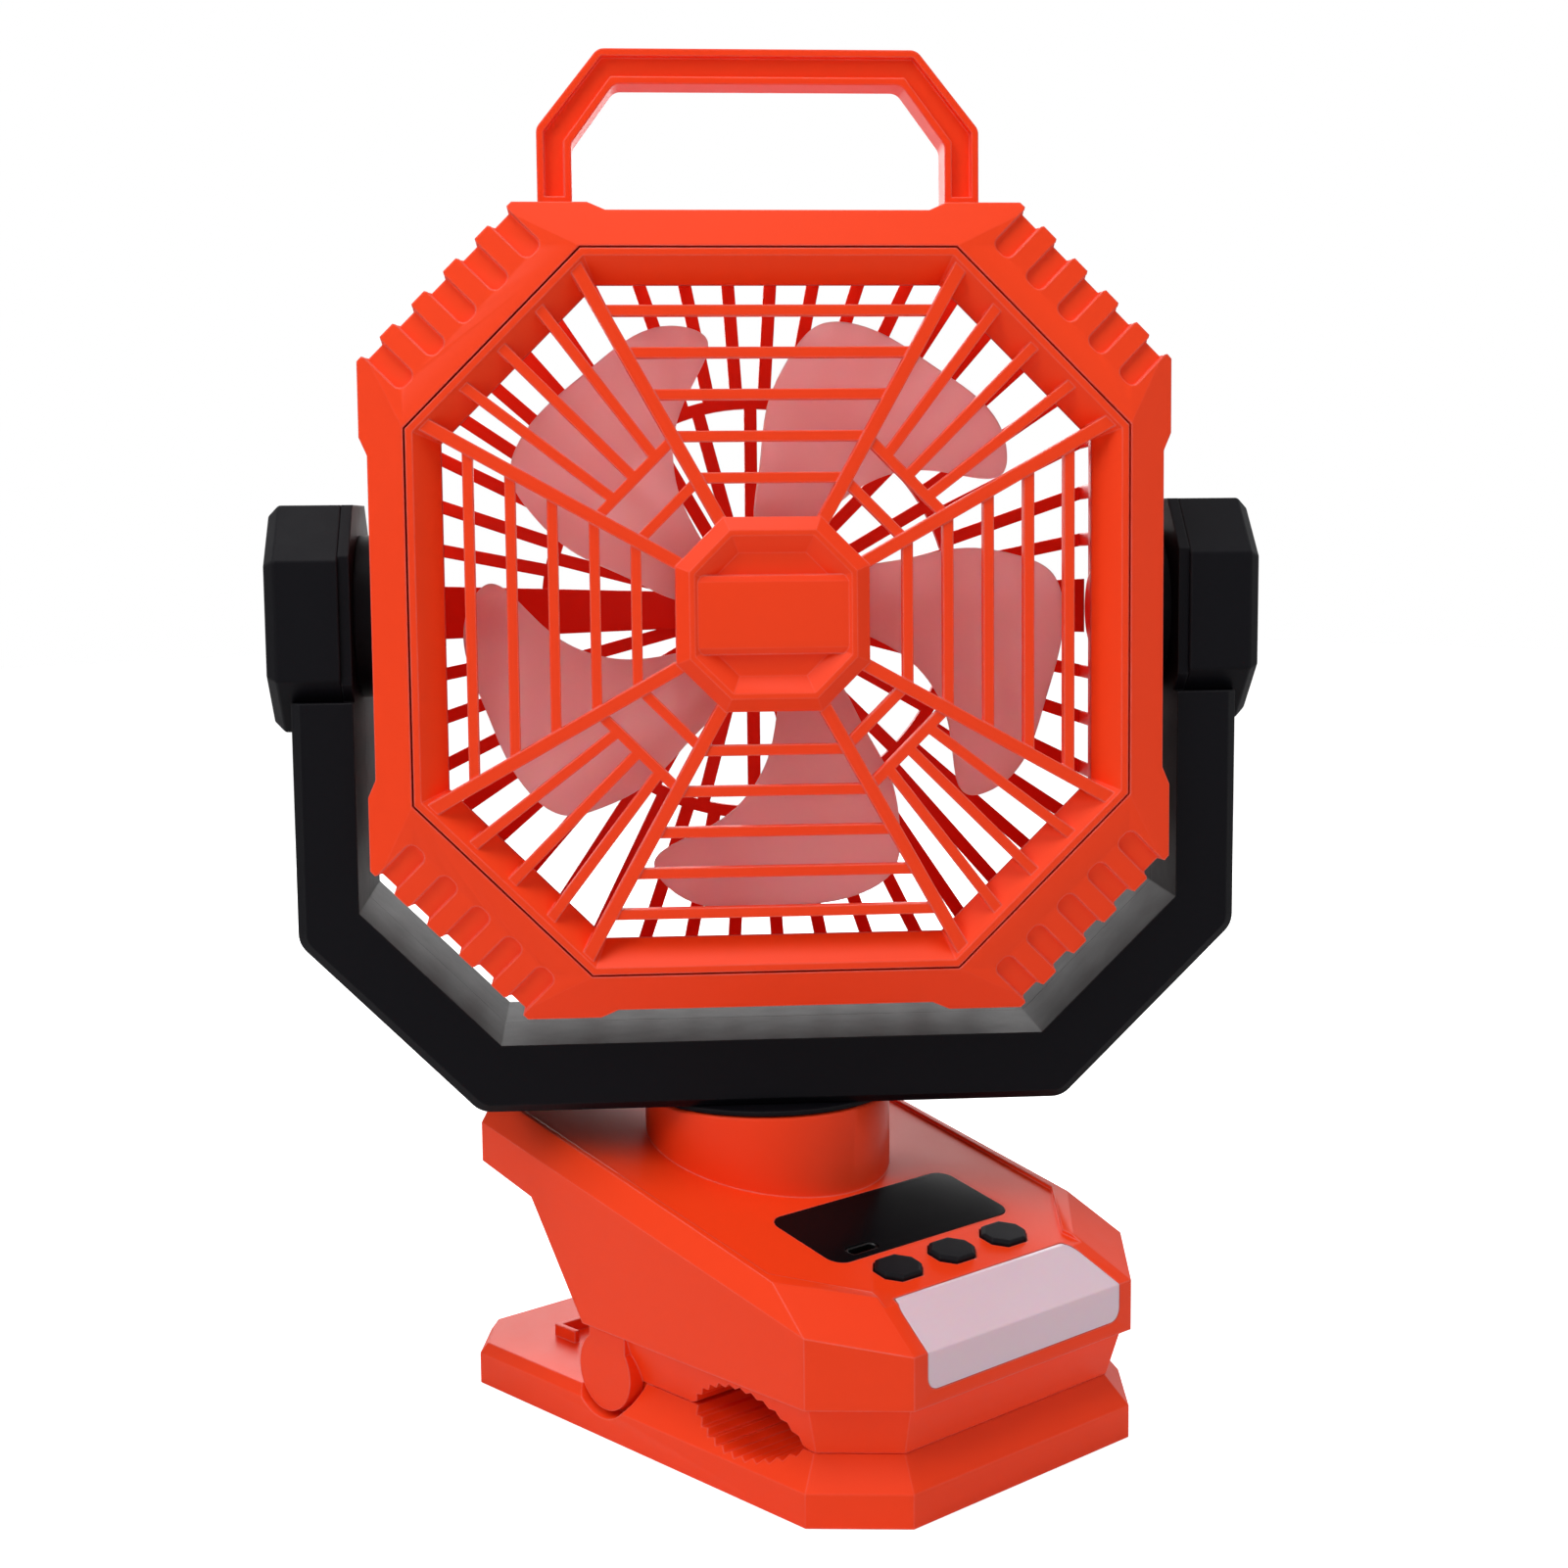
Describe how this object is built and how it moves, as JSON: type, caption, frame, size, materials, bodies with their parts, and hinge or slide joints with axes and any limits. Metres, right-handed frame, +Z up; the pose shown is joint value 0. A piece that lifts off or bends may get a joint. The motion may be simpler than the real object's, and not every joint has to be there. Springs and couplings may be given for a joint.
{
  "type": "portable clip fan",
  "caption": "Octagonal battery fan head with folding handle, tilting in a swivelling yoke on a faceted clip base with display, buttons and lamp.",
  "frame": {"origin": "point of the bottom face under the swivel axis", "axes": "+Z up along the swivel axis, -Y towards the lamp end of the base, +X to the right seen from the lamp end"},
  "size_m": [0.2078, 0.1792, 0.3206],
  "materials": {
    "orange_plastic": "fine satin texture",
    "orange_guard": "satin",
    "black_plastic": "fine satin texture",
    "window_black": "high gloss",
    "blade_plastic": "frosted translucent",
    "lens_plastic": "milky translucent",
    "steel": "bright",
    "zinc": "zinc plated",
    "board_green": "solder mask",
    "white_plastic": "satin",
    "led_yellow": "gloss",
    "cell_wrap": "shrink film",
    "brass_bush": "sintered",
    "magnet_grey": "matt",
    "armature_steel": "laminated steel with copper wire"
  },
  "bodies": {
    "lower_jaw": {"lower_jaw": "orange_plastic", "hinge_pin": "steel", "spring_left": "steel", "spring_right": "steel"},
    "clip_body": {"clip_shell": "orange_plastic", "upper_jaw": "orange_plastic", "jaw_screws": "zinc", "display_window": "window_black", "display_module": "white_plastic", "control_board": "board_green", "button_switches": "black_plastic", "charge_port": "steel", "lamp_lens": "lens_plastic", "lamp_board": "white_plastic", "lamp_leds": "led_yellow", "battery_cells": "cell_wrap", "battery_cradle": "black_plastic", "swivel_washer": "steel"},
    "left_button": {"button_left": "black_plastic"},
    "middle_button": {"button_middle": "black_plastic"},
    "right_button": {"button_right": "black_plastic"},
    "yoke": {"yoke_front": "black_plastic", "yoke_rear": "black_plastic", "knob_left": "black_plastic", "knob_right": "black_plastic", "pivot_disc_left": "black_plastic", "pivot_disc_right": "black_plastic", "pivot_washers": "steel", "swivel_post": "black_plastic", "swivel_ring": "steel", "yoke_screws": "zinc"},
    "head": {"front_frame": "orange_plastic", "front_grille": "orange_plastic", "rear_housing": "orange_plastic", "rear_grille": "orange_guard", "frame_screws": "zinc", "trunnion_left": "orange_guard", "trunnion_right": "orange_guard", "pivot_nuts": "zinc", "handle_pins": "steel", "motor_can": "zinc", "motor_cap": "white_plastic", "motor_magnets": "magnet_grey", "motor_bushes": "brass_bush"},
    "fan": {"fan_rotor": "blade_plastic", "motor_shaft": "steel", "motor_armature": "armature_steel"},
    "handle": {"handle": "orange_plastic"}
  },
  "joints": [
    {"name": "clip", "type": "hinge", "parent": "lower_jaw", "child": "clip_body", "pos_m": [0, 0.0015, 0.0155], "axis": [-1, 0, 0], "range_deg": [0, 30], "stiffness_Nm_per_rad": 1.6, "springref_deg": -51.57},
    {"name": "swivel", "type": "hinge", "parent": "clip_body", "child": "yoke", "pos_m": [0, 0, 0.0761], "axis": [0, 0, 1], "range_deg": [-135, 215]},
    {"name": "tilt", "type": "hinge", "parent": "yoke", "child": "head", "pos_m": [0, 0, 0.1905], "axis": [0.7837, -0.6211, 0], "range_deg": [-89, 91]},
    {"name": "fan", "type": "hinge", "parent": "head", "child": "fan", "pos_m": [0, 0, 0.1905], "axis": [0.621, 0.7835, -0.0192], "continuous": true},
    {"name": "handle", "type": "hinge", "parent": "head", "child": "handle", "pos_m": [0.00105, 0.00133, 0.27898], "axis": [-0.7837, 0.6211, 0], "range_deg": [0, 77]},
    {"name": "left_press", "type": "slide", "parent": "clip_body", "child": "left_button", "axis": [0, 0.2241, -0.9746], "range_m": [0, 0.0006], "stiffness_N_per_m": 900, "springref_m": -0.0004},
    {"name": "middle_press", "type": "slide", "parent": "clip_body", "child": "middle_button", "axis": [0, 0.2241, -0.9746], "range_m": [0, 0.0006], "stiffness_N_per_m": 900, "springref_m": -0.0004},
    {"name": "right_press", "type": "slide", "parent": "clip_body", "child": "right_button", "axis": [0, 0.2241, -0.9746], "range_m": [0, 0.0006], "stiffness_N_per_m": 900, "springref_m": -0.0004}
  ]
}
